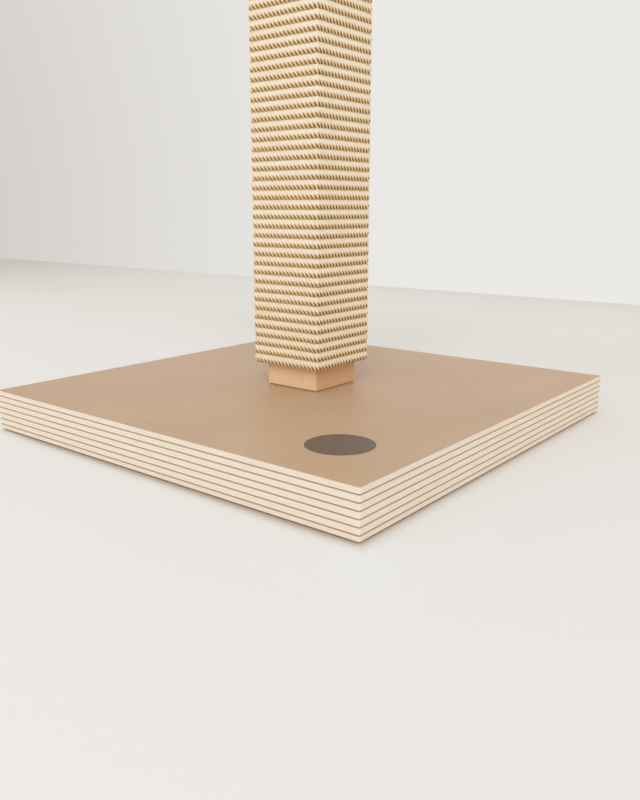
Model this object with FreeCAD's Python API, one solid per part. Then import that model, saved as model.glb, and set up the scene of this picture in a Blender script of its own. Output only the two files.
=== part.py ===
# Cat scratching post: a square wooden post wound with sisal rope, bolted upright on a square layered board.
#
# Sizes are in millimetres. The origin is on the floor under the middle of the board, +Z is up, and the
# board's front edge faces -Y. The post stands in the middle, and the round inlay lies towards +X and -Y.

import FreeCAD, Part
import math
import os
from FreeCAD import Vector

# Board: light plies with a thin dark veneer between each two, and a film on both faces
board_side = 400.0
board_corner_radius = 1.5       # rounds its four upright edges
veneer_count = 6
ply_thickness = 4.5
top_ply_thickness = 4.0
bottom_ply_thickness = 3.2
veneer_thickness = 0.7
film_thickness = 0.3

# Round inlay let into the top film
inlay_diameter = 50.0
inlay_edge_margin = 36.0        # from the board's front and right edges to the inlay's rim
inlay_gap = 0.1

# Foot pads, one under each corner
pad_diameter = 30.0
pad_thickness = 2.0
pad_edge_margin = 15.0          # from the board's edges to the pad's rim

# Post core, bare at both ends, and the gasket it stands on
core_width = 57.0
core_bevel = 0.6
neck_height = 20.0              # bare wood below the lowest turn on the front
stub_height = 20.0              # bare wood above the highest turn on the front
gasket_thickness = 1.25
gasket_inset = 1.0

# Rope: the body of its twisted strands, one layer of turns laid side by side
rope_diameter = 7.5
turn_gap = 0.5                  # between one turn and the next
rope_stand_off = 0.25           # between the core's faces and the rope
rope_turns = 90
drawn_turns = 24                # the lowest turns, drawn one by one
climb_radius = 60.0             # bend at the foot and the head of each climb
tuck_edge_margin = 12.0         # from the core's rear left edge to the middle of each tuck hole
tuck_clearance = 0.25
sleeve_gap = 0.5                # between the drawn turns and the sleeve of turns above them
sleeve_step_margin = 4.0        # from the core's front left edge to the step in the sleeve's lower end

# M8 bolt from below, its washer, and the threaded insert in the foot of the core
bolt_diameter = 8.0
bolt_head_width = 13.0
bolt_head_height = 5.3
bolt_engagement = 17.25         # length of bolt inside the insert
bolt_clearance = 0.25
bolt_tip_room = 6.0
washer_diameter = 24.0
washer_thickness = 2.0
washer_clearance = 1.0
counterbore_depth = 10.0
insert_diameter = 12.0
insert_length = 20.0
insert_fit = 0.1                # around the insert, and between its thread and the bolt

# Two dowels that keep the post from turning on its bolt
dowel_diameter = 8.0
dowel_edge_margin = 10.5        # from the core's side faces to the middle of each dowel
dowel_depth_in_board = 18.75
dowel_depth_in_core = 20.0
dowel_fit = 0.1
dowel_end_room = 1.0

# Heights, each worked out from the pieces below it
board_bottom = pad_thickness
plies_thickness = bottom_ply_thickness + (veneer_count - 1) * ply_thickness + top_ply_thickness
board_thickness = 2 * film_thickness + plies_thickness + veneer_count * veneer_thickness
board_top = board_bottom + board_thickness
core_bottom = board_top + gasket_thickness
winding_bottom = core_bottom + neck_height

# Rope line: its distance from the core, which is also its bend round the core's edges, and its climb
rope_radius = rope_diameter / 2
rope_offset = rope_stand_off + rope_radius
turn_pitch = rope_diameter + turn_gap
half_pitch = turn_pitch / 2
first_row = winding_bottom + half_pitch
last_row = first_row + (rope_turns - 1) * turn_pitch
last_drawn_row = first_row + (drawn_turns - 1) * turn_pitch
winding_top = last_row + half_pitch
core_half = core_width / 2
core_length = winding_top + stub_height - core_bottom
winding_half = core_half + rope_offset + rope_radius
tuck_place = core_half - tuck_edge_margin
tuck_hole_radius = rope_radius + tuck_clearance

UP = Vector(0, 0, 1)
BACK = Vector(0, 1, 0)
LEFT = Vector(-1, 0, 0)


def square_prism(side, bottom, height):
    """A square block about the Z axis."""
    return Part.makeBox(side, side, height, Vector(-side / 2, -side / 2, bottom))


def upright_cylinder(radius, bottom, height, x=0.0, y=0.0):
    return Part.makeCylinder(radius, height, Vector(x, y, bottom))


def extruded_polygon(points, along):
    """A prism from the corners of a flat outline, pushed along a vector."""
    outline = Part.makePolygon(points + points[:1])
    return Part.Face(outline).extrude(along)


def corner_edges(block):
    """The upright edges of a block."""
    return [edge for edge in block.Edges if edge.Vertexes[0].X == edge.Vertexes[1].X
            and edge.Vertexes[0].Y == edge.Vertexes[1].Y]


def dowel_places():
    """Each dowel's side and its place along X."""
    reach = core_half - dowel_edge_margin
    return [("left", -reach), ("right", reach)]


# ---- Board ----

def board_bores():
    """What is cut out of the board: the bolt's hole and counterbore, and two blind dowel holes."""
    bores = upright_cylinder(bolt_diameter / 2 + bolt_clearance, board_bottom, board_thickness)
    washer_room = washer_diameter / 2 + washer_clearance
    bores = bores.fuse(upright_cylinder(washer_room, board_bottom, counterbore_depth))
    for _, x in dowel_places():
        hole_bottom = board_top - dowel_depth_in_board
        hole = upright_cylinder(dowel_diameter / 2 + dowel_fit, hole_bottom, dowel_depth_in_board, x)
        bores = bores.fuse(hole)
    return bores


def board_layers():
    """Names and thicknesses of the board's layers, from the underside up."""
    layers = [("base_underside_film", film_thickness)]
    for number in range(1, veneer_count + 2):
        if number == 1:
            thickness = bottom_ply_thickness
        elif number == veneer_count + 1:
            thickness = top_ply_thickness
        else:
            thickness = ply_thickness
        layers.append((f"base_ply_{number}", thickness))
        if number <= veneer_count:
            layers.append((f"base_dark_veneer_{number}", veneer_thickness))
    layers.append(("base_top_film", film_thickness))
    return layers


def inlay_centre():
    return board_side / 2 - inlay_edge_margin - inlay_diameter / 2


def make_board():
    pieces = {}
    bores = board_bores()
    bottom = board_bottom
    for name, thickness in board_layers():
        layer = square_prism(board_side, bottom, thickness)
        layer = layer.makeFillet(board_corner_radius, corner_edges(layer))
        pieces[name] = layer.cut(bores)
        bottom += thickness
    film_bottom = board_top - film_thickness
    centre = inlay_centre()
    recess = upright_cylinder(inlay_diameter / 2 + inlay_gap, film_bottom, film_thickness, centre, -centre)
    pieces["base_top_film"] = pieces["base_top_film"].cut(recess)
    inlay = upright_cylinder(inlay_diameter / 2, film_bottom, film_thickness, centre, -centre)
    pieces["round_inlay"] = inlay
    return pieces


def make_foot_pads():
    pieces = {}
    reach = board_side / 2 - pad_edge_margin - pad_diameter / 2
    corners = [("front_left", -1, -1), ("front_right", 1, -1), ("rear_right", 1, 1), ("rear_left", -1, 1)]
    for place, side_x, side_y in corners:
        pad = upright_cylinder(pad_diameter / 2, 0, pad_thickness, side_x * reach, side_y * reach)
        pieces[f"foot_pad_{place}"] = pad
    return pieces


# ---- Post ----

def make_gasket():
    gasket = square_prism(core_width - 2 * gasket_inset, board_top, gasket_thickness)
    gasket = gasket.cut(upright_cylinder(bolt_diameter / 2 + bolt_clearance, board_top, gasket_thickness))
    for _, x in dowel_places():
        hole = upright_cylinder(dowel_diameter / 2 + dowel_fit, board_top, gasket_thickness, x)
        gasket = gasket.cut(hole)
    return gasket


def tuck_holes():
    """Blind holes for the rope's two ends, the lower in the left face and the upper in the back face."""
    lower_start = Vector(rope_diameter - core_half, tuck_place, first_row - half_pitch)
    upper_start = Vector(-tuck_place, core_half - rope_diameter, last_row + half_pitch)
    lower = Part.makeCylinder(tuck_hole_radius, rope_diameter, lower_start, LEFT)
    upper = Part.makeCylinder(tuck_hole_radius, rope_diameter, upper_start, BACK)
    return [lower, upper]


def make_core():
    core = square_prism(core_width, core_bottom, core_length)
    core = core.makeChamfer(core_bevel, corner_edges(core) + core.Faces[-1].Edges)
    cuts = tuck_holes()
    cuts.append(upright_cylinder(insert_diameter / 2 + insert_fit, core_bottom, insert_length))
    tip_room = insert_length + bolt_tip_room
    cuts.append(upright_cylinder(bolt_diameter / 2 + bolt_clearance, core_bottom, tip_room))
    dowel_hole_depth = dowel_depth_in_core + dowel_end_room
    for _, x in dowel_places():
        cuts.append(upright_cylinder(dowel_diameter / 2 + dowel_fit, core_bottom, dowel_hole_depth, x))
    return core.cut(cuts)


# ---- Fasteners ----

def make_insert():
    body = upright_cylinder(insert_diameter / 2, core_bottom, insert_length)
    return body.cut(upright_cylinder(bolt_diameter / 2 + insert_fit, core_bottom, insert_length))


def make_washer():
    top = board_bottom + counterbore_depth
    washer = upright_cylinder(washer_diameter / 2, top - washer_thickness, washer_thickness)
    bore = upright_cylinder(bolt_diameter / 2 + bolt_clearance, top - washer_thickness, washer_thickness)
    return washer.cut(bore)


def make_bolt():
    head_top = board_bottom + counterbore_depth - washer_thickness
    corner_radius = bolt_head_width / math.sqrt(3)
    corners = []
    for number in range(6):
        turn = math.radians(60 * number)
        height = head_top - bolt_head_height
        corners.append(Vector(corner_radius * math.cos(turn), corner_radius * math.sin(turn), height))
    head = extruded_polygon(corners, UP * bolt_head_height)
    shank_length = core_bottom + bolt_engagement - head_top
    return head.fuse(upright_cylinder(bolt_diameter / 2, head_top, shank_length))


def make_dowels():
    pieces = {}
    length = dowel_depth_in_board + gasket_thickness + dowel_depth_in_core
    for side, x in dowel_places():
        bottom = board_top - dowel_depth_in_board
        pieces[f"dowel_{side}"] = upright_cylinder(dowel_diameter / 2, bottom, length, x)
    return pieces


# ---- Rope ----

class RopeLine:
    """The rope's centre line, drawn as it is wound: anticlockwise seen from above, always turning left."""

    def __init__(self, start, heading):
        self.point = start
        self.heading = heading
        self.edges = []

    def run(self, length):
        """Straight on, level."""
        end = self.point + self.heading * length
        self.edges.append(Part.LineSegment(self.point, end).toShape())
        self.point = end

    def bend(self):
        """A level quarter turn to the left, as far from the core's edge as from its faces."""
        left = UP.cross(self.heading)
        centre = self.point + left * rope_offset
        middle = centre + (self.heading - left) * (rope_offset / math.sqrt(2))
        end = centre + self.heading * rope_offset
        self.edges.append(Part.Arc(self.point, middle, end).toShape())
        self.point = end
        self.heading = left

    def climb(self, length, height):
        """Up by a height over a level length: an arc, a straight slope and the opposite arc."""
        slope_length = math.sqrt(length ** 2 + height ** 2 - 4 * climb_radius * height)
        angle = math.atan2(2 * climb_radius, slope_length) - math.atan2(2 * climb_radius - height, length)
        foot = self.point
        head = foot + self.heading * length + UP * height
        slope_foot = foot + self.arc_step(angle)
        slope_head = head - self.arc_step(angle)
        self.edges.append(Part.Arc(foot, foot + self.arc_step(angle / 2), slope_foot).toShape())
        self.edges.append(Part.LineSegment(slope_foot, slope_head).toShape())
        self.edges.append(Part.Arc(slope_head, head - self.arc_step(angle / 2), head).toShape())
        self.point = head

    def arc_step(self, angle):
        """From the level end of a climbing arc to the point where it has turned by an angle."""
        return self.heading * (climb_radius * math.sin(angle)) + UP * (climb_radius * (1 - math.cos(angle)))


def lower_rope_line():
    """Out of its tuck hole in the left face and round the core, level on the front and right faces."""
    line = RopeLine(Vector(rope_diameter - core_half, tuck_place, first_row - half_pitch), LEFT)
    line.run(rope_diameter)
    line.bend()
    line.climb(tuck_place - rope_offset + core_half, half_pitch)
    for turn in range(drawn_turns):
        line.bend()
        line.run(core_width)
        line.bend()
        line.run(core_width)
        line.bend()
        line.climb(core_width, half_pitch)
        line.bend()
        if turn < drawn_turns - 1:
            line.climb(core_width, half_pitch)
    line.climb(core_width - rope_diameter - sleeve_step_margin, half_pitch)
    line.run(rope_diameter)
    return line


def least_gap(edges, step):
    """The least gap between the rope and its neighbouring turns, from points along its centre line."""
    points = []
    for edge in edges:
        points.extend(edge.discretize(Number=max(2, math.ceil(edge.Length / step)))[:-1])
    turn_length = 4 * core_width + 2 * math.pi * rope_offset
    per_turn = round(len(points) * turn_length / sum(edge.Length for edge in edges))
    nearest = turn_pitch
    for index, point in enumerate(points):
        for other in points[index + per_turn // 2:index + 2 * per_turn]:
            nearest = min(nearest, point.distanceToPoint(other))
    return nearest - rope_diameter


def make_lower_rope():
    line = lower_rope_line()
    path = Part.Wire(line.edges)
    section = Part.Wire([Part.makeCircle(rope_radius, path.Vertexes[0].Point, LEFT)])
    shell = Part.BRepOffsetAPI.MakePipeShell(path)
    shell.add(section)
    shell.build()
    shell.makeSolid()
    rope = shell.shape()
    expected = math.pi * rope_radius ** 2 * path.Length
    print(f"lower rope: {path.Length / 1000:.3f} m long, volume {rope.Volume / expected:.5f} of section x length")
    print(f"lower rope: bends {rope_offset:.2f} mm, least gap between turns {least_gap(line.edges, 2.0):.3f} mm")
    return rope


def sleeve_ramp(bottom):
    """What the drawn turns take out of the sleeve's lower end as they climb on the back and left faces."""
    below = bottom - turn_pitch
    middle = bottom + half_pitch
    top = bottom + turn_pitch
    reach = winding_half - core_half + turn_pitch
    step_y = sleeve_step_margin - core_half
    on_back = [(core_half, below), (-core_half, below), (-core_half, middle), (core_half, bottom)]
    back = extruded_polygon([Vector(x, core_half, z) for x, z in on_back], BACK * reach)
    on_left = [(core_half, below), (step_y, below), (step_y, top), (step_y + rope_diameter, top)]
    on_left.append((core_half, middle))
    left = extruded_polygon([Vector(-core_half, y, z) for y, z in on_left], LEFT * reach)
    corner = Part.makeBox(reach, reach, middle - below, Vector(-core_half - reach, core_half, below))
    return back.fuse([left, corner])


def make_upper_rope():
    """The rest of the turns as one sleeve, with a step that the drawn rope's upper end butts against."""
    bottom = last_drawn_row + rope_radius + sleeve_gap
    sleeve = square_prism(2 * winding_half, bottom, winding_top - bottom)
    sleeve = sleeve.makeFillet(rope_offset + rope_radius, corner_edges(sleeve))
    sleeve = sleeve.cut(square_prism(core_width, bottom, winding_top - bottom))
    return sleeve.cut(sleeve_ramp(bottom))


def make_pieces():
    pieces = make_board()
    pieces.update(make_foot_pads())
    pieces["post_gasket"] = make_gasket()
    pieces["post_core"] = make_core()
    pieces["threaded_insert"] = make_insert()
    pieces["post_bolt"] = make_bolt()
    pieces["bolt_washer"] = make_washer()
    pieces.update(make_dowels())
    pieces["rope_lower_turns"] = make_lower_rope()
    pieces["rope_upper_turns"] = make_upper_rope()
    return pieces


os.makedirs("parts", exist_ok=True)
for piece_name, piece in make_pieces().items():
    solid = piece.Solids[0]
    print(f"{piece_name}: {len(piece.Solids)} solid, valid {piece.isValid()}, volume {solid.Volume:.1f} mm3")
    solid.exportStep(os.path.join("parts", f"{piece_name}.step"))
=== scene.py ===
"""Cat scratching post: looks for its layered board, its square post and the sisal rope wound round it.

Lengths are in metres, in the part's own frame: the origin is on the floor under the middle of the board,
+Z is up, and the board's front edge faces -Y. Everything rides on the one body, because nothing on the
post moves.
"""

import math

import bpy
import numpy as np
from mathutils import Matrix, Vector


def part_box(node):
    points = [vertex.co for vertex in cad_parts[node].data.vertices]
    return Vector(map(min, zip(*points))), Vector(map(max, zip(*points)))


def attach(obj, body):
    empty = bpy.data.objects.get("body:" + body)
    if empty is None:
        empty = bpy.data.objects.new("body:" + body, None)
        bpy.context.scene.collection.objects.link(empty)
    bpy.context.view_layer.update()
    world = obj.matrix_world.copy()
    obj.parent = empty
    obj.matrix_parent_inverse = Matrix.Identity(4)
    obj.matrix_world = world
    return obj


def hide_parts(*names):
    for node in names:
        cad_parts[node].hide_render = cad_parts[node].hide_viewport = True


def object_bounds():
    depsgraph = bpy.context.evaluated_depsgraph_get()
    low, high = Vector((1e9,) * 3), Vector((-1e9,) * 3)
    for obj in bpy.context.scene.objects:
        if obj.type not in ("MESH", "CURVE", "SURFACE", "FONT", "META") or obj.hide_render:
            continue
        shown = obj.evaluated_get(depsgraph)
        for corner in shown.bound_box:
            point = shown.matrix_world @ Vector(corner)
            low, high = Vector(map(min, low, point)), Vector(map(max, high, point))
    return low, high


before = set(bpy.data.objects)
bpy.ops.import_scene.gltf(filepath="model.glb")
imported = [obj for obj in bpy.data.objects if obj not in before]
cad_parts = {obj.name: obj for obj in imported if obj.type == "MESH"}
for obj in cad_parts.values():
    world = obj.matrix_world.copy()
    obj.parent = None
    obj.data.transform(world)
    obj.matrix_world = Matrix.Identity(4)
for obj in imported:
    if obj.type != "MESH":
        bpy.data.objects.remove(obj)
cad_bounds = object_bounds()

bl_info = {
    "name": "Cat scratching post",
    "version": (1, 0, 0),
    "blender": (4, 5, 0),
    "location": "3D View > Sidebar > Scratching Post",
    "description": "Winds the sisal rope of a cat scratching post, and finishes its board, post and stage",
    "category": "Object",
}

BODY = "root"
CORE_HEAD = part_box("post_core")[1]
WINDING_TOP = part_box("rope_upper_turns")[1].z
BOARD_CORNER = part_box("base_top_film")[1]
FLOOR_HEIGHT = cad_bounds[0].z
QUARTER_TURN = math.pi / 2.0


# ---- Settings ----

def length(name, description, default):
    """A length in metres that the sidebar shows in the scene's unit."""
    return bpy.props.FloatProperty(
        name=name, description=description, default=default, min=0.0, precision=5, unit="LENGTH")


def spot(name, description, default):
    """A point in metres."""
    return bpy.props.FloatVectorProperty(
        name=name, description=description, default=default, size=3, precision=4,
        subtype="TRANSLATION", unit="LENGTH")


def rotation(name, description, degrees):
    """An angle, given in degrees."""
    return bpy.props.FloatProperty(
        name=name, description=description, default=math.radians(degrees), subtype="ANGLE", unit="ROTATION")


def brightness(name, description, default):
    """A light's strength."""
    return bpy.props.FloatProperty(name=name, description=description, default=default, min=0.0)


def colour(name, description, default):
    """A colour as a screen shows it."""
    return bpy.props.FloatVectorProperty(
        name=name, description=description, default=default, size=3, min=0.0, max=1.0,
        subtype="COLOR_GAMMA")


class RopeSettings(bpy.types.PropertyGroup):
    turns: bpy.props.IntProperty(
        name="Turns", description="Turns of rope from the foot to the head of the post", default=90, min=1)
    pitch: length("Pitch", "Height from one turn to the next, which is also the rope's diameter", 0.008)
    strands: bpy.props.IntProperty(
        name="Strands", description="Strands twisted into the rope", default=4, min=2)
    lay: length("Lay", "Length of rope in which a strand goes round once", 0.017)
    bulge: length("Bulge", "How far each turn's pressed side swells out from the valleys beside it", 0.00055)
    proud: length("Proud", "How far loose outer fibres stand out past the rope's own diameter", 0.0007)
    press: length("Press", "How far each turn's fibres reach into the turn beside it", 0.00025)
    upper_groove: length("Upper groove", "Depth between two strands on the upper side of a turn", 0.0002)
    lower_groove: length("Lower groove", "Depth between two strands on the lower side of a turn", 0.0013)
    corner_radius: length("Outer corner", "Bend of the rope's outer side at the post's edges", 0.0009)
    inner_corner_radius: length("Inner corner", "Bend of the rope's inner side at the post's edges", 0.0003)
    mitre_reach: length("Mitre reach", "How far from each edge its inner side is pushed together", 0.016)
    tuck_margin: length("Tuck margin", "From the rear left edge to the middle of each end's hole", 0.012)
    crest: colour("Crest", "Outermost fibres of each strand", (0.952, 0.910, 0.838))
    # Painted shade in the grooves between strands, deepest on each turn's lower side
    groove_shade: colour("Groove", "Fibres between two strands", (0.49, 0.34, 0.15))
    # Painted shade on each turn's lower side and in the creases beside its neighbours
    shade: colour("Shade", "Fibres on a turn's lower side, and beside its neighbours", (0.905, 0.763, 0.515))
    streak: colour("Streak", "Darker single fibres", (0.875, 0.79, 0.655))
    # Painted shade at the top of each turn, where it curves away from the light
    upper_edge_shade: colour("Upper edge", "Fibres that turn away at the top of each turn", (0.80, 0.75, 0.67))


class BoardSettings(bpy.types.PropertyGroup):
    ply: colour("Plies", "Cut edges of the pale plies", (0.920, 0.876, 0.816))
    ply_vein: colour("Ply veins", "Darker wood in the plies' cut edges", (0.897, 0.833, 0.753))
    glue: colour("Glue lines", "Plies' cut edges where they meet a dark veneer", (0.70, 0.575, 0.455))
    veneer: colour("Dark veneers", "Cut edges of the thin dark veneers", (0.645, 0.56, 0.47))
    film: colour("Film", "Brown film on the board's top and underside", (0.757, 0.634, 0.514))
    inlay: colour("Inlay", "Round dark inlay in the top film", (0.39, 0.33, 0.285))
    pad: colour("Foot pads", "Rubber of the four foot pads", (0.42, 0.36, 0.30))


class PostSettings(bpy.types.PropertyGroup):
    early_wood: colour("Pale wood", "Pale bands of the core's grain", (0.915, 0.795, 0.66))
    late_wood: colour("Dark wood", "Dark bands of the core's grain", (0.855, 0.695, 0.53))
    # Painted shade: the core's left and right faces are painted darker and more orange
    side_face_shade: colour("Side wood", "Left and right faces, cut nearer the tree's heart", (0.79, 0.595, 0.40))
    gasket: colour("Gasket", "Thin gasket between the core and the board", (0.66, 0.49, 0.34))
    dowel: colour("Dowels", "Beech of the two dowels", (0.83, 0.70, 0.55))
    brass: colour("Brass", "Threaded insert", (0.80, 0.63, 0.35))
    zinc: colour("Zinc", "Plating on the bolt and its washer", (0.72, 0.73, 0.74))


class StageSettings(bpy.types.PropertyGroup):
    camera_place: spot("Camera place", "Where the camera stands", (0.4495, -0.5488, 0.1950))
    camera_turn: rotation("Camera turn", "Camera's heading, leftwards from straight back", 38.697)
    camera_dip: rotation("Camera dip", "How far the camera looks down", 13.875)
    wall_distance: length("Wall distance", "Where the floor ends behind the post", 1.12)
    floor: colour("Floor", "Pale floor", (0.922, 0.914, 0.922))
    # Painted contact shadow on the floor beside the board
    painted_contact_shadow: colour("Floor at the board", "Floor right beside the board's edge", (0.805, 0.77, 0.73))
    # Painted light that brightens the floor in the board's shade
    painted_light_under_board: colour("Floor under the board", "Floor in the shade of the board", (0.94, 0.90, 0.84))
    near_floor: colour("Floor near the board", "Mixed in faintly in front of the board", (0.90, 1.0, 1.0))
    # Painted shade: the floor darkens towards the back
    far_floor: colour("Far floor", "Floor behind the post", (0.874, 0.868, 0.855))
    wall_floor: colour("Floor at the wall", "Floor in the shade at the left", (0.765, 0.745, 0.725))
    backdrop: colour("Backdrop", "Wall behind the floor", (0.925, 0.917, 0.90))
    backdrop_shade: colour("Backdrop shade", "Wall where it darkens to the left", (0.78, 0.765, 0.745))
    sky: brightness("Sky", "Strength of the light from all round", 1.0)
    lamp_strength: brightness("Lamp", "Strength of the broad soft light from behind the camera", 1.05)
    lamp_place: spot("Lamp place", "It shines from here towards the origin", (1.08, -1.66, 1.63))
    lamp_width: rotation("Lamp width", "How broad the lamp looks from the post", 34.0)


# ---- Materials ----

def linear(shown, alpha=1.0):
    """A colour as nodes want it, from one as a screen shows it."""
    channels = [c / 12.92 if c <= 0.04045 else ((c + 0.055) / 1.055) ** 2.4 for c in shown]
    return (*channels, alpha)


class Term:
    """One output in a node tree. Arithmetic on it adds Math nodes there."""

    def __init__(self, nodes, socket):
        self.nodes = nodes
        self.socket = socket

    def __add__(self, other):
        return self.nodes.maths("ADD", self, other)

    def __radd__(self, other):
        return self.nodes.maths("ADD", other, self)

    def __sub__(self, other):
        return self.nodes.maths("SUBTRACT", self, other)

    def __rsub__(self, other):
        return self.nodes.maths("SUBTRACT", other, self)

    def __mul__(self, other):
        return self.nodes.maths("MULTIPLY", self, other)

    def __rmul__(self, other):
        return self.nodes.maths("MULTIPLY", other, self)

    def __truediv__(self, other):
        return self.nodes.maths("DIVIDE", self, other)

    def __pow__(self, other):
        return self.nodes.maths("POWER", self, other)

    def __abs__(self):
        return self.nodes.maths("ABSOLUTE", self)


class Nodes:
    """The emptied node tree of a material or of the world, and what goes into it."""

    def __init__(self, owner):
        owner.use_nodes = True
        self.tree = owner.node_tree
        self.tree.nodes.clear()

    def node(self, kind, settings=None, sockets=None, output=0):
        """Adds a node, sets its settings, then the values or links of its sockets, and returns one output."""
        node = self.tree.nodes.new("ShaderNode" + kind)
        for name, value in (settings or {}).items():
            setattr(node, name, value)
        for name, value in (sockets or {}).items():
            if isinstance(value, Term):
                self.tree.links.new(value.socket, node.inputs[name])
            else:
                node.inputs[name].default_value = value
        return Term(self, node.outputs[output]) if len(node.outputs) else None

    def maths(self, operation, *values):
        return self.node("Math", {"operation": operation}, dict(enumerate(values)))

    def mix(self, factor, first, second):
        """Between two colours."""
        sockets = {0: factor, 6: first, 7: second}
        return self.node("Mix", {"data_type": "RGBA"}, sockets, output=2)

    def varied(self, noise, low, high, tone, factor):
        """A screen colour that goes over into a darker or lighter one as a noise rises from low to high."""
        changed = [min(1.0, channel * factor) for channel in tone]
        return self.mix(self.spread(noise, low, high), linear(tone), linear(changed))

    def place(self, scale=(1.0, 1.0, 1.0), shift=(0.0, 0.0, 0.0)):
        """The point on the object, in metres, times a scale along each axis."""
        point = self.node("TexCoord", output="Object")
        return self.node("Mapping", {}, {"Vector": point, "Location": shift, "Scale": scale})

    def noise(self, vector, detail=2.0, roughness=0.5, scale=1.0):
        sockets = {"Vector": vector, "Scale": scale, "Detail": detail, "Roughness": roughness}
        return self.node("TexNoise", {}, sockets)

    def axes(self, vector):
        """The X, Y and Z of a vector."""
        first = self.node("SeparateXYZ", {}, {0: vector})
        return [Term(self, socket) for socket in first.socket.node.outputs]

    def outward(self):
        """The X, Y and Z of the surface's outward direction."""
        return self.axes(self.node("NewGeometry", output="Normal"))

    def spread(self, value, low, high):
        """A value's stretch from low to high as 0 to 1, and no further."""
        sockets = {"Value": value, "From Min": low, "From Max": high}
        return self.node("MapRange", {"clamp": True}, sockets)

    def bump(self, height, distance, strength=1.0):
        """A height from 0 to 1 as a relief so many metres deep."""
        return self.node("Bump", {}, {"Height": height, "Distance": distance, "Strength": strength})

    def surface(self, **sockets):
        """The finished surface. Socket names are written with underscores."""
        named = {name.replace("_", " "): value for name, value in sockets.items()}
        if "Specular" in named:
            named["Specular IOR Level"] = named.pop("Specular")
        self.node("OutputMaterial", {}, {"Surface": self.node("BsdfPrincipled", {}, named)})


def new_finish(name):
    """A new material and its node tree."""
    material = bpy.data.materials.new(name)
    return material, Nodes(material)


def sisal_finish(rope):
    """Fibres that run nearly along the rope, pale on the strands' crests, with painted shade between them, on
    each turn's lower side, beside the turns next to it and at its upper edge.
    """
    material, nodes = new_finish("sisal")
    along, across, _ = nodes.axes(nodes.node("UVMap", {"uv_map": "rope_lay"}))
    strand = nodes.maths("FLOOR", across)
    from_crest = abs((across - strand) * 2.0 - 1.0)
    turned = across / rope.strands - along / rope.lay
    face_height = (nodes.maths("FRACT", turned + 0.5) - 0.5) * FACE_SCALE

    # What is left of the painted groove shade at the lower edge of each turn, and on its upper side
    tip_share, upper_share = 0.3, 0.07
    above_tip = nodes.spread(face_height, -1.02, -0.82) * (1.0 - tip_share) + tip_share
    lower_side = nodes.spread(face_height, 0.10, -0.45) * above_tip
    # Painted shade in the grooves between strands, strongest on each turn's lower side
    groove_shade = nodes.spread(from_crest, 0.26, 0.80) * (lower_side * (1.0 - upper_share) + upper_share)

    # Turns that a fibre makes while its strand makes one
    fibre_slant = 1.15
    fibre_line = across - along * (rope.strands * fibre_slant / rope.lay)

    def drawn_out(along_scale, line_scale, strand_step, detail, roughness=0.5):
        """Noise drawn out along the fibres, another on each strand."""
        sockets = {0: along * along_scale, 1: fibre_line * line_scale, 2: strand * strand_step}
        return nodes.noise(nodes.node("CombineXYZ", {}, sockets), detail, roughness)

    fibres = drawn_out(160.0, 15.0, 7.3, detail=3.0, roughness=0.6)
    yarns = drawn_out(45.0, 4.0, 3.1, detail=1.0)
    patches = nodes.noise(nodes.place((40.0, 40.0, 90.0)), detail=2.0)
    tone = nodes.mix(nodes.spread(fibres, 0.50, 0.78), linear(rope.crest), linear(rope.streak))
    tone = nodes.mix(nodes.spread(patches, 0.45, 0.8) * 0.35, tone, linear(rope.streak))
    # Painted shade on each turn's lower side and in the creases between turns
    valley = nodes.spread(abs(face_height), 0.55, 1.0)
    painted_shade_mask = nodes.maths("MAXIMUM", lower_side, valley)
    tone = nodes.mix(painted_shade_mask * 0.8, tone, linear(rope.shade))
    # Painted shade darkens the upper part of each turn
    tone = nodes.mix(nodes.spread(face_height, 0.2, 1.0) * 0.36, tone, linear(rope.upper_edge_shade))
    tone = nodes.mix(groove_shade, tone, linear(rope.groove_shade))
    relief = nodes.bump(fibres * 0.6 + yarns * 0.4, 0.0005, 0.6)
    nodes.surface(Base_Color=tone, Roughness=0.85, Specular=0.25, Normal=relief)
    return material


def ply_finish(name, board, seed, low, high):
    """The cut edge of a pale ply: long fine fibres, a few short pores, and glue stains beside its veneers.

    Low and high are the heights at which those veneers touch it.
    """
    material, nodes = new_finish(name)
    veins = nodes.noise(nodes.place((14.0, 14.0, 1500.0), (seed, seed, 0.0)), detail=4.0, roughness=0.65)
    mottle = nodes.noise(nodes.place((70.0, 70.0, 260.0), (0.0, 0.0, seed)), detail=3.0)
    pores = nodes.noise(nodes.place((420.0, 420.0, 2600.0), (seed, 0.0, seed)), detail=1.0)
    wood = nodes.mix(nodes.spread(veins, 0.40, 0.72), linear(board.ply), linear(board.ply_vein))
    wood = nodes.mix(nodes.spread(mottle, 0.45, 0.75) * 0.6, wood, linear(board.ply_vein))
    wood = nodes.mix(nodes.spread(pores, 0.64, 0.74) * 0.35, wood, linear(board.veneer))
    stain_width = 0.0004
    height = nodes.axes(nodes.node("NewGeometry", output="Position"))[2]
    to_veneer = nodes.maths("MINIMUM", height - low, high - height)
    wood = nodes.mix(nodes.spread(to_veneer, stain_width, 0.0) * 0.9, wood, linear(board.glue))
    relief = nodes.bump(veins * 0.6 + pores * 0.4, 0.00012, 0.5)
    nodes.surface(Base_Color=wood, Roughness=0.62, Specular=0.3, Normal=relief)
    return material


def veneer_finish(board):
    """The cut edge of a thin dark veneer and its glue."""
    material, nodes = new_finish("dark_veneer_edge")
    streaks = nodes.noise(nodes.place((60.0, 60.0, 900.0)), detail=3.0)
    tone = nodes.varied(streaks, 0.35, 0.7, board.veneer, 0.88)
    nodes.surface(Base_Color=tone, Roughness=0.6, Specular=0.3, Normal=nodes.bump(streaks, 0.0001, 0.4))
    return material


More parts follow.
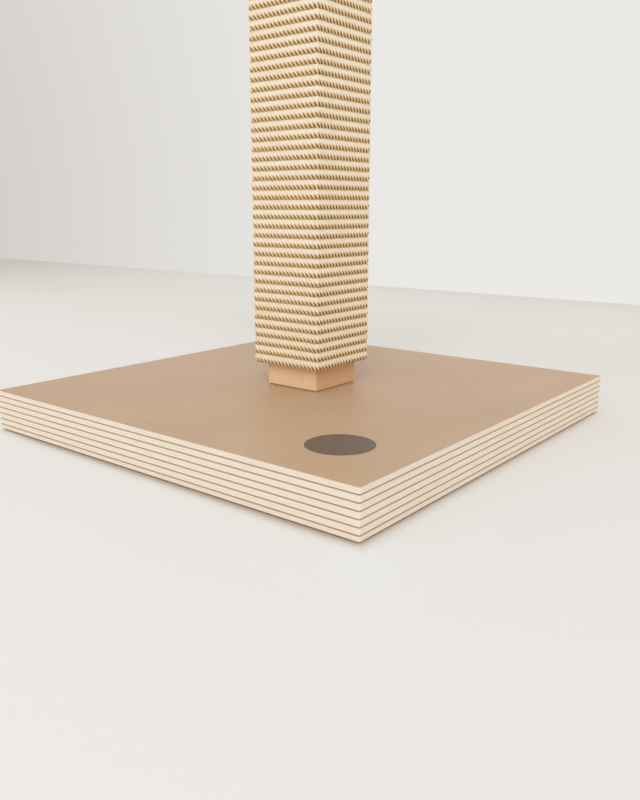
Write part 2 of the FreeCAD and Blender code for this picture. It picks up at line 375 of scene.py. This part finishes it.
def film_finish(board):
    """Satin brown film with a faint cloudiness and an almost flat, pressed skin, and a pale cut edge."""
    material, nodes = new_finish("brown_film")
    clouds = nodes.noise(nodes.place((9.0, 9.0, 9.0)), detail=3.0, roughness=0.55)
    skin = nodes.noise(nodes.place((900.0, 900.0, 900.0)), detail=2.0)
    tone = nodes.varied(clouds, 0.3, 0.7, board.film, 0.965)
    cut_edge = nodes.spread(abs(nodes.outward()[2]), 0.5, 0.2)
    tone = nodes.mix(cut_edge * 0.7, tone, linear(board.ply_vein))
    gloss = 0.40 + clouds * 0.08
    nodes.surface(Base_Color=tone, Roughness=gloss, Specular=0.5, Normal=nodes.bump(skin, 0.00003, 0.35))
    return material


def inlay_finish(board):
    """Dark moulded plastic, bare, with a fine even grain."""
    material, nodes = new_finish("dark_inlay_plastic")
    grain = nodes.noise(nodes.place((1800.0, 1800.0, 1800.0)), detail=2.0)
    tone = nodes.varied(grain, 0.35, 0.7, board.inlay, 1.06)
    nodes.surface(Base_Color=tone, Roughness=0.48, Specular=0.45, Normal=nodes.bump(grain, 0.00003, 0.4))
    return material


def rubber_finish(name, rubber):
    """Matt rubber with a fine cast grain."""
    material, nodes = new_finish(name)
    grain = nodes.noise(nodes.place((1200.0, 1200.0, 1200.0)), detail=2.0)
    tone = nodes.varied(grain, 0.4, 0.7, rubber, 1.15)
    nodes.surface(Base_Color=tone, Roughness=0.8, Specular=0.3, Normal=nodes.bump(grain, 0.00005, 0.5))
    return material


def post_wood_finish(post):
    """Smooth planed wood whose grain runs up the post, with faint growth bands and a soft mottle.

    The bands go round the tree's heart, which lies outside the post, to its left and before it.
    """
    material, nodes = new_finish("post_wood")
    heart_left, heart_before = 0.052, 0.081
    ring_turns = 2100.0
    bend = nodes.noise(nodes.place((9.0, 9.0, 1.6)), detail=2.0)
    x, y, _ = nodes.axes(nodes.place())
    out_x = x + heart_left + bend * 0.012
    out_y = y + heart_before
    rings = nodes.maths("SINE", (out_x * out_x + out_y * out_y) ** 0.5 * ring_turns) * 0.5 + 0.5
    fibres = nodes.noise(nodes.place((1100.0, 1100.0, 26.0)), detail=3.0, roughness=0.6)
    mottle = nodes.noise(nodes.place((160.0, 160.0, 120.0)), detail=3.0)
    band = rings ** 1.5 * 0.08 + nodes.spread(fibres, 0.35, 0.75) * 0.12
    band = band + nodes.spread(mottle, 0.3, 0.7) * 0.3
    wood = nodes.mix(band, linear(post.early_wood), linear(post.late_wood))
    # Painted shade: faces that look left or right are painted darker
    sideways = abs(nodes.outward()[0])
    wood = nodes.mix(nodes.spread(sideways, 0.4, 0.8) * 0.6, wood, linear(post.side_face_shade))
    relief = nodes.bump(fibres * 0.7 + rings * 0.3, 0.00008, 0.4)
    nodes.surface(Base_Color=wood, Roughness=0.5, Specular=0.35, Normal=relief)
    return material


def dowel_finish(post):
    """Beech with its grain along the dowel."""
    material, nodes = new_finish("beech_dowel")
    fibres = nodes.noise(nodes.place((1500.0, 1500.0, 60.0)), detail=3.0)
    wood = nodes.varied(fibres, 0.35, 0.7, post.dowel, 0.88)
    nodes.surface(Base_Color=wood, Roughness=0.65, Specular=0.3, Normal=nodes.bump(fibres, 0.0001, 0.5))
    return material


def metal_finish(name, metal, tarnish):
    """Turned or plated metal with faint tool marks and slightly uneven gloss."""
    material, nodes = new_finish(name)
    marks = nodes.noise(nodes.place((300.0, 300.0, 6000.0)), detail=2.0)
    clouds = nodes.noise(nodes.place((220.0, 220.0, 220.0)), detail=3.0)
    tone = nodes.varied(clouds, 0.35, 0.7, metal, 1.0 - tarnish)
    gloss = 0.28 + nodes.spread(clouds, 0.3, 0.7) * 0.16
    relief = nodes.bump(marks, 0.00003, 0.5)
    nodes.surface(Base_Color=tone, Metallic=1.0, Roughness=gloss, Normal=relief)
    return material


def floor_finish(stage):
    """Pale floor with painted shade: darker towards the back and the wall, a painted contact shadow right
    beside the board, and painted light that brightens it in the board's shade.
    """
    material, nodes = new_finish("pale_floor")
    edge = BOARD_CORNER.x
    shadow_reach, near_reach = 0.011, 0.07
    rightward, backward, _ = nodes.axes(nodes.place())
    from_board = nodes.maths("MAXIMUM", abs(rightward), abs(backward)) - edge
    # Painted shade: the floor darkens towards the back, and more at the far left and at the wall
    far = nodes.spread(backward, -0.55, 0.45)
    at_left = nodes.spread(rightward, -0.3, -2.2) ** 2.0 * nodes.spread(backward, 0.1, 0.6)
    at_back = nodes.spread(backward, 0.7, stage.wall_distance) ** 2.0 * 0.3
    before_board = nodes.spread(backward, 0.15, -0.2)
    near = nodes.spread(from_board, near_reach, 0.01) * before_board * 0.16
    from_far_corners = nodes.spread(rightward - backward, 0.0, 0.06)
    from_right_side = 0.84 + nodes.spread(rightward, edge, edge - 0.05) * 0.36
    # Painted contact shadow beside the board, fading before the far corners
    beside = nodes.spread(from_board, shadow_reach, 0.0) ** 1.6 * from_far_corners * from_right_side
    tone = nodes.mix(far, linear(stage.floor), linear(stage.far_floor))
    tone = nodes.mix(nodes.maths("MAXIMUM", at_left, at_back), tone, linear(stage.wall_floor))
    tone = nodes.mix(near, tone, linear(stage.near_floor))
    tone = nodes.mix(beside, tone, linear(stage.painted_contact_shadow))
    # Painted light brightens the floor just under the board's edge
    tone = nodes.mix(nodes.spread(from_board, 0.0005, -0.0015), tone, linear(stage.painted_light_under_board))
    nodes.surface(Base_Color=tone, Roughness=0.9, Specular=0.2)
    return material


def paint(node_names, material):
    """Gives CAD nodes their finish."""
    for name in node_names:
        for material_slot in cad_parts[name].material_slots:
            material_slot.material = material


# ---- Rope ----

class Station:
    """One cross-section of the rope.

    A point on it lies at foot + distance * lean, where distance is from the post. Travel is the length of the
    rope's outer side from its lower end.
    """

    def __init__(self, foot, lean, height, travel):
        self.foot = foot
        self.lean = lean
        self.height = height
        self.travel = travel


def eased(t):
    """From 0 to 1, level at both ends."""
    return t * t * (3.0 - 2.0 * t)


class RopePath:
    """The stations of the rope from its lower end to its upper one, anticlockwise seen from above.

    Distances from the core run from 0, where the rope touches it, to the rope's diameter on its outer side.
    """

    RUN_STEPS = 64
    CORNER_STEPS = 3
    TURN_STEPS = 4 * (RUN_STEPS + CORNER_STEPS)
    HOLE_STEPS = 5
    RIM_STEPS = 9
    TUCK_DEPTH = 0.004

    def __init__(self, rope):
        self.rope = rope
        self.half = CORE_HEAD.x
        self.flare = (rope.corner_radius - rope.inner_corner_radius) / rope.pitch
        self.outer_half_run = self.half + rope.pitch - rope.corner_radius
        self.first_row = WINDING_TOP - (rope.turns - 0.5) * rope.pitch
        self.stations = []
        self.travel = 0.0

    def add(self, foot, lean, height, step):
        """A station, and the length of the rope's outer side from it to the next one."""
        self.stations.append(Station(foot, lean, height, self.travel))
        self.travel += step

    def face_station(self, outward, place, height, step):
        """A station on a flat face. Place is along the face from its middle, on the rope's outer side."""
        onward = np.array((-outward[1], outward[0]))
        to_edge = abs(place) - (self.outer_half_run - self.rope.mitre_reach)
        push = max(0.0, to_edge / self.rope.mitre_reach) ** 2 * (1.0 - self.flare)
        inner_place = math.copysign(abs(place) - push * self.rope.pitch, place)
        lean = outward + onward * math.copysign(push, place)
        self.add(outward * self.half + onward * inner_place, lean, height, step)

    def run(self, outward, start, end, low, high):
        """Along a face between two places, easing from one height to another."""
        reach = end - start
        step_count = max(1, round(self.RUN_STEPS * reach / (2.0 * self.outer_half_run)))
        for number in range(step_count):
            t = number / step_count
            height = low + (high - low) * eased(t)
            self.face_station(outward, start + reach * t, height, reach / step_count)

    def corner(self, outward, height):
        """Round the edge at a face's far end, level."""
        onward = np.array((-outward[1], outward[0]))
        corner_middle = (self.half - self.rope.inner_corner_radius) * (outward + onward)
        arc = self.rope.corner_radius * QUARTER_TURN / self.CORNER_STEPS
        for number in range(self.CORNER_STEPS):
            angle = QUARTER_TURN * number / self.CORNER_STEPS
            way = outward * math.cos(angle) + onward * math.sin(angle)
            foot = corner_middle + way * self.rope.inner_corner_radius
            lean = (outward + onward) * (1.0 - self.flare) + way * self.flare
            self.add(foot, lean, height, arc)

    def tuck(self, outward, place, height, entering):
        """Round the rim of a tuck hole, between a face and a straight stretch inside the hole."""
        onward = np.array((-outward[1], outward[0]))
        side = -1.0 if entering else 1.0
        rim = outward * self.half + onward * (place + side * self.rope.pitch / 2.0)
        bend = (self.rope.pitch + self.rope.inner_corner_radius) * QUARTER_TURN
        stretch = []
        for number in range(self.HOLE_STEPS):
            depth = self.TUCK_DEPTH * (1.0 - number / self.HOLE_STEPS)
            stretch.append((rim - outward * depth, -onward * side, self.TUCK_DEPTH / self.HOLE_STEPS))
        for number in range(self.RIM_STEPS):
            angle = QUARTER_TURN * number / self.RIM_STEPS
            way = outward * math.sin(angle) - onward * side * math.cos(angle)
            stretch.append((rim, way, bend / self.RIM_STEPS))
        if entering:
            stretch = [(rim, outward, bend / self.RIM_STEPS)] + stretch[::-1]
        for foot, lean, step in stretch:
            self.add(foot, lean, height, step)


def rope_stations(rope):
    """Level on the front and right faces, and half a pitch up on each of the back and left ones."""
    path = RopePath(rope)
    front, right, back, left = [np.array(way) for way in ((0.0, -1.0), (1.0, 0.0), (0.0, 1.0), (-1.0, 0.0))]
    reach = path.outer_half_run
    half_pitch = rope.pitch / 2.0
    tuck_place = path.half - rope.tuck_margin
    path.tuck(left, -tuck_place, path.first_row - half_pitch, entering=False)
    height = path.first_row
    path.run(left, half_pitch - tuck_place, reach, height - half_pitch, height)
    path.corner(left, height)
    for turn in range(rope.turns):
        path.run(front, -reach, reach, height, height)
        path.corner(front, height)
        path.run(right, -reach, reach, height, height)
        path.corner(right, height)
        if turn == rope.turns - 1:
            break
        path.run(back, -reach, reach, height, height + half_pitch)
        path.corner(back, height + half_pitch)
        path.run(left, -reach, reach, height + half_pitch, height + rope.pitch)
        height += rope.pitch
        path.corner(left, height)
    path.run(back, -reach, tuck_place - half_pitch, height, height + half_pitch)
    path.tuck(back, tuck_place, height + half_pitch, entering=True)
    return path.stations


# The rope's section: its points for each strand, the share of the strands' turn that the pressed outer side
# takes, the face height for each whole turn, and the angle from straight outward to that side's rims
POINTS_PER_STRAND = 8
OUTER_SHARE = 1.0 / 3.0
FACE_SCALE = 2.0 / OUTER_SHARE
RIM_ANGLE = math.pi / 4.0


def flattened(turned):
    """Where the strands' turn has brought a point: its angle up from straight outward, and its face height.

    The rope's pressed outer side takes OUTER_SHARE of the strands' turn and RIM_ANGLE up and down, and they
    climb it evenly. The face height runs from -1 to 1 there, and further on the hidden sides.
    """
    wrapped = (turned / math.tau + 0.5) % 1.0 - 0.5
    face_height = wrapped * FACE_SCALE
    past_rim = (np.abs(face_height) - 1.0) / (FACE_SCALE / 2.0 - 1.0)
    hidden = np.sign(wrapped) * (RIM_ANGLE + past_rim * (math.pi - RIM_ANGLE))
    return np.where(np.abs(face_height) <= 1.0, np.arctan(face_height), hidden), face_height


# Where the grooves begin to deepen and over what face height, and the same for their shallow tips
GROOVE_TOP, GROOVE_FADE = 0.06, 0.50
TIP_FOOT, TIP_FADE, TIP_SHARE = -1.05, 0.2, 0.3
GROOVE_POWER = 2.4
EDGE_SHARPNESS = 34.0


def section_radius(rope, lobe_angle, angle, face_height):
    """The rope's radius at an angle up from straight outward. Lobe angle runs round with the twisted strands.

    Turns are pressed flat against each other and against the core, and swell a little between. Loose fibres
    stand proud on the outer side alone. The strands show as grooves in that outline. Below GROOVE_TOP they
    deepen over GROOVE_FADE, and near TIP_FOOT, at the turn's lower edge, they keep TIP_SHARE of that.
    """
    half = rope.pitch / 2.0
    reach = half + rope.press
    arc = (reach * reach + rope.bulge * rope.bulge) / (2.0 * rope.bulge)
    proud_fade, least_up = 4.0, 0.05
    middle = half - arc + rope.proud * np.clip(np.cos(angle) * proud_fade, 0.0, 1.0)
    out, up = np.abs(np.cos(angle)), np.abs(np.sin(angle))
    swell = middle * out + np.sqrt(arc * arc - (middle * up) ** 2)
    side = reach / np.maximum(up, least_up)
    outline = (swell ** -EDGE_SHARPNESS + side ** -EDGE_SHARPNESS) ** (-1.0 / EDGE_SHARPNESS)
    from_crest = np.abs((lobe_angle * rope.strands / math.tau) % 1.0 * 2.0 - 1.0)
    below_top = eased(np.clip((GROOVE_TOP - face_height) / GROOVE_FADE, 0.0, 1.0))
    above_tip = eased(np.clip((face_height - TIP_FOOT) / TIP_FADE, 0.0, 1.0))
    deepening = below_top * (TIP_SHARE + (1.0 - TIP_SHARE) * above_tip)
    depth = rope.upper_groove + (rope.lower_groove - rope.upper_groove) * deepening
    return outline - depth * from_crest ** GROOVE_POWER


def rope_mesh(name, rope, stations):
    """A closed twisted tube through the stations, with a map of the lay and a map for baking."""
    foot = np.array([station.foot for station in stations])
    lean = np.array([station.lean for station in stations])
    height = np.array([station.height for station in stations])
    travel = np.array([station.travel for station in stations])
    count = len(stations)
    around = POINTS_PER_STRAND * rope.strands
    lobe_angle = math.tau * (np.arange(around) / around)
    angle, face_height = flattened(lobe_angle[None, :] - math.tau * travel[:, None] / rope.lay)
    radius = section_radius(rope, lobe_angle[None, :], angle, face_height)
    distance = rope.pitch / 2.0 + radius * np.cos(angle)
    flat = foot[:, None, :] + lean[:, None, :] * distance[:, :, None]
    lift = height[:, None] + radius * np.sin(angle)
    points = np.concatenate([flat, lift[:, :, None]], axis=2).reshape(-1, 3)

    ring, spoke = np.meshgrid(np.arange(count - 1), np.arange(around), indexing="ij")
    after = (spoke + 1) % around
    here, onward = ring * around, (ring + 1) * around
    quads = np.stack([here + spoke, onward + spoke, onward + after, here + after], axis=2).reshape(-1, 4)
    ends = np.concatenate([np.arange(around), (count - 1) * around + np.arange(around)[::-1]])

    mesh = bpy.data.meshes.new(name)
    mesh.vertices.add(len(points))
    mesh.vertices.foreach_set("co", points.ravel())
    mesh.loops.add(quads.size + ends.size)
    mesh.loops.foreach_set("vertex_index", np.concatenate([quads.ravel(), ends]))
    mesh.polygons.add(len(quads) + 2)
    starts = np.concatenate([np.arange(len(quads)) * 4, quads.size + np.array((0, around))])
    mesh.polygons.foreach_set("loop_start", starts)
    mesh.update(calc_edges=True)
    mesh.polygons.foreach_set("use_smooth", np.ones(len(quads) + 2, bool))

    across = np.stack([spoke, spoke, spoke + 1, spoke + 1], axis=2) / POINTS_PER_STRAND
    along = np.stack([ring, ring + 1, ring + 1, ring], axis=2)
    lay_u = travel[along]
    end_u = np.repeat(travel[[0, -1]], around)
    end_v = np.full(2 * around, 0.5)
    lay_map = np.stack([np.append(lay_u.ravel(), end_u), np.append(across.ravel(), end_v)], axis=1)
    mesh.uv_layers.new(name="rope_lay").data.foreach_set("uv", lay_map.astype(np.float32).ravel())
    bake_map = bake_strips(rope, ring, along, across, count, around)
    mesh.uv_layers.new(name="OFBake").data.foreach_set("uv", bake_map.astype(np.float32).ravel())
    return mesh


def bake_strips(rope, ring, along, across, count, around):
    """A strip of the bake's picture for each turn's worth of stations, and the two ends on the top strip."""
    per_strip = RopePath.TURN_STEPS
    strips = math.ceil((count - 1) / per_strip) + 1
    side_margin, strip_margin = 0.01, 0.06
    row = (ring // per_strip)[:, :, None]
    u = side_margin + (1.0 - 2.0 * side_margin) * (along - row * per_strip) / per_strip
    v = (row + strip_margin + (1.0 - 2.0 * strip_margin) * across / rope.strands) / strips
    end_angle = math.tau * np.arange(around) / around
    end_u = [middle + 0.02 * np.cos(end_angle) for middle in (0.05, 0.15)]
    end_v = (strips - 0.5 + 0.4 * np.sin(end_angle)) / strips
    flat_u = np.concatenate([u.ravel(), *end_u])
    flat_v = np.concatenate([v.ravel(), end_v, end_v])
    return np.stack([flat_u, flat_v], axis=1)


def ride_piece(mesh, material, slot, *nodes):
    """Puts a mesh in the scene as a piece of the post that stands for CAD nodes."""
    piece = bpy.data.objects.new(mesh.name, mesh)
    bpy.context.scene.collection.objects.link(piece)
    mesh.materials.append(material)
    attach(piece, BODY)
    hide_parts(*nodes)


# ---- Operators ----

class SCRATCHER_OT_wind_rope(bpy.types.Operator):
    """Wind the sisal rope round the post, from one tuck hole to the other"""

    bl_idname = "scratcher.wind_rope"
    bl_label = "Wind Rope"

    # Stretches of the one rope, cut at these turns, for each of the two CAD nodes that they stand for
    stretches = (("sisal_rope_lower", "rope_lower_turns", (0, 8, 16, 24)),
                 ("sisal_rope_upper", "rope_upper_turns", (24, 35, 46, 57, 68, 79, 90)))

    def execute(self, context):
        rope = context.scene.scratcher_rope
        material = sisal_finish(rope)
        stations = rope_stations(rope)
        per_turn = RopePath.TURN_STEPS
        lead = len(stations) - rope.turns * per_turn
        for stem, node, cuts in self.stretches:
            for number, (start, end) in enumerate(zip(cuts, cuts[1:]), start=1):
                first = 0 if start == 0 else lead + start * per_turn
                last = len(stations) - 1 if end == rope.turns else lead + end * per_turn
                mesh = rope_mesh(f"{stem}_{number}", rope, stations[first:last + 1])
                ride_piece(mesh, material, "sisal_rope", node)
        return {"FINISHED"}


class SCRATCHER_OT_finish_board(bpy.types.Operator):
    """Give the board's plies, dark veneers and films their finishes"""

    bl_idname = "scratcher.finish_board"
    bl_label = "Finish Board"

    def execute(self, context):
        board = context.scene.scratcher_board
        plies = sorted(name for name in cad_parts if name.startswith("base_ply_"))
        for number, name in enumerate(plies):
            low, high = [corner.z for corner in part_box(name)]
            if name == plies[0]:
                low = FLOOR_HEIGHT
            if name == plies[-1]:
                high = CORE_HEAD.z
            paint([name], ply_finish(f"ply_edge_{number + 1}", board, 3.7 * number, low, high))
        veneers = [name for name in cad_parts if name.startswith("base_dark_veneer_")]
        paint(veneers, veneer_finish(board))
        paint(["base_top_film", "base_underside_film"], film_finish(board))
        return {"FINISHED"}


class SCRATCHER_OT_finish_inlay(bpy.types.Operator):
    """Give the round inlay its finish"""

    bl_idname = "scratcher.finish_inlay"
    bl_label = "Finish Inlay"

    def execute(self, context):
        paint(["round_inlay"], inlay_finish(context.scene.scratcher_board))
        return {"FINISHED"}


class SCRATCHER_OT_finish_foot_pads(bpy.types.Operator):
    """Give the four foot pads their finish"""

    bl_idname = "scratcher.finish_foot_pads"
    bl_label = "Finish Foot Pads"

    def execute(self, context):
        pads = [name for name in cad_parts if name.startswith("foot_pad_")]
        paint(pads, rubber_finish("pad_rubber", context.scene.scratcher_board.pad))
        return {"FINISHED"}


class SCRATCHER_OT_finish_post(bpy.types.Operator):
    """Give the post's core and its gasket their finishes"""

    bl_idname = "scratcher.finish_post"
    bl_label = "Finish Post"

    def execute(self, context):
        post = context.scene.scratcher_post
        paint(["post_core"], post_wood_finish(post))
        paint(["post_gasket"], rubber_finish("gasket_rubber", post.gasket))
        return {"FINISHED"}


class SCRATCHER_OT_finish_fasteners(bpy.types.Operator):
    """Give the bolt, washer, threaded insert and dowels their finishes"""

    bl_idname = "scratcher.finish_fasteners"
    bl_label = "Finish Fasteners"

    def execute(self, context):
        post = context.scene.scratcher_post
        paint(["post_bolt", "bolt_washer"], metal_finish("zinc_plating", post.zinc, 0.12))
        paint(["threaded_insert"], metal_finish("turned_brass", post.brass, 0.2))
        paint(["dowel_left", "dowel_right"], dowel_finish(post))
        return {"FINISHED"}


class SCRATCHER_OT_set_stage(bpy.types.Operator):
    """Lay the floor, light it softly from above the camera and place the camera"""

    bl_idname = "scratcher.set_stage"
    bl_label = "Set Stage"

    def execute(self, context):
        stage = context.scene.scratcher_stage
        self.lay_floor(context.scene, stage)
        self.light_world(context.scene, stage)
        self.hang_lamp(context.scene, stage)
        self.place_camera(context.scene, stage)
        context.scene.view_settings.view_transform = "Standard"
        return {"FINISHED"}

    @staticmethod
    def lay_floor(scene, stage):
        """A wide pale floor that ends behind the post."""
        reach = 9.0
        back = stage.wall_distance
        corners = [(-reach, -reach), (reach, -reach), (reach, back), (-reach, back)]
        mesh = bpy.data.meshes.new("floor")
        mesh.from_pydata([(x, y, FLOOR_HEIGHT) for x, y in corners], [], [(0, 1, 2, 3)])
        floor = bpy.data.objects.new("floor", mesh)
        scene.collection.objects.link(floor)
        mesh.materials.append(floor_finish(stage))

    @staticmethod
    def light_world(scene, stage):
        """Even light from all round, warmer from the right, and a plain wall for the eye and for gloss."""
        world = bpy.data.worlds.new("studio")
        scene.world = world
        nodes = Nodes(world)
        white, warm = (1.0, 1.0, 1.0, 1.0), (1.0, 0.95, 0.87, 1.0)
        top_dimming = 0.25
        rightward, _, upward = nodes.axes(nodes.node("TexCoord", output="Generated"))
        shade = nodes.spread(rightward, -0.45, -0.95) ** 2.2
        wall = nodes.mix(shade, linear(stage.backdrop), linear(stage.backdrop_shade))
        strength = 1.0 - nodes.spread(upward, 0.0, 1.0) * top_dimming
        rays = ("Is Camera Ray", "Is Glossy Ray", "Is Transmission Ray")
        camera, glossy, transmitted = [nodes.node("LightPath", output=ray) for ray in rays]
        seen = nodes.maths("MAXIMUM", nodes.maths("MAXIMUM", camera, glossy), transmitted)
        tint = nodes.mix(nodes.spread(rightward, -1.0, 1.0), white, warm)
        light = nodes.node("Background", {}, {0: tint, 1: strength * stage.sky})
        picture = nodes.node("Background", {}, {0: wall, 1: 1.0})
        both = nodes.node("MixShader", {}, {0: seen, 1: light, 2: picture})
        nodes.node("OutputWorld", {}, {"Surface": both})

    @staticmethod
    def hang_lamp(scene, stage):
        """One broad, far-off soft lamp above and behind the camera."""
        data = bpy.data.lights.new("soft_lamp", "SUN")
        data.angle = stage.lamp_width
        data.energy = stage.lamp_strength
        lamp = bpy.data.objects.new("soft_lamp", data)
        scene.collection.objects.link(lamp)
        lamp.location = stage.lamp_place
        lamp.rotation_euler = (-lamp.location).to_track_quat("-Z", "Y").to_euler()

    @staticmethod
    def place_camera(scene, stage):
        data = bpy.data.cameras.new("camera")
        data.lens = 35.0
        data.sensor_width = 36.0
        data.clip_start = 0.01
        camera = bpy.data.objects.new("camera", data)
        scene.collection.objects.link(camera)
        camera.location = stage.camera_place
        camera.rotation_euler = (QUARTER_TURN - stage.camera_dip, 0.0, stage.camera_turn)
        scene.camera = camera


OPERATORS = (
    SCRATCHER_OT_set_stage,
    SCRATCHER_OT_wind_rope,
    SCRATCHER_OT_finish_board,
    SCRATCHER_OT_finish_inlay,
    SCRATCHER_OT_finish_foot_pads,
    SCRATCHER_OT_finish_post,
    SCRATCHER_OT_finish_fasteners,
)

SETTINGS = {
    "scratcher_rope": RopeSettings,
    "scratcher_board": BoardSettings,
    "scratcher_post": PostSettings,
    "scratcher_stage": StageSettings,
}


class SCRATCHER_PT_sidebar(bpy.types.Panel):
    """Sizes, colours and steps of the scratching post"""

    bl_idname = "SCRATCHER_PT_sidebar"
    bl_label = "Scratching Post"
    bl_space_type = "VIEW_3D"
    bl_region_type = "UI"
    bl_category = "Scratching Post"

    def draw(self, context):
        for pointer, group in SETTINGS.items():
            box = self.layout.box()
            for name in group.__annotations__:
                box.prop(getattr(context.scene, pointer), name)
        for operator in OPERATORS:
            self.layout.operator(operator.bl_idname)


CLASSES = (*SETTINGS.values(), *OPERATORS, SCRATCHER_PT_sidebar)


def register():
    for each in CLASSES:
        bpy.utils.register_class(each)
    for pointer, group in SETTINGS.items():
        setattr(bpy.types.Scene, pointer, bpy.props.PointerProperty(type=group))


def unregister():
    for pointer in SETTINGS:
        delattr(bpy.types.Scene, pointer)
    for each in reversed(CLASSES):
        bpy.utils.unregister_class(each)


def main():
    """Makes the whole scene."""
    register()
    for operator in OPERATORS:
        family, name = operator.bl_idname.split(".")
        getattr(getattr(bpy.ops, family), name)()


if __name__ == "__main__":
    main()
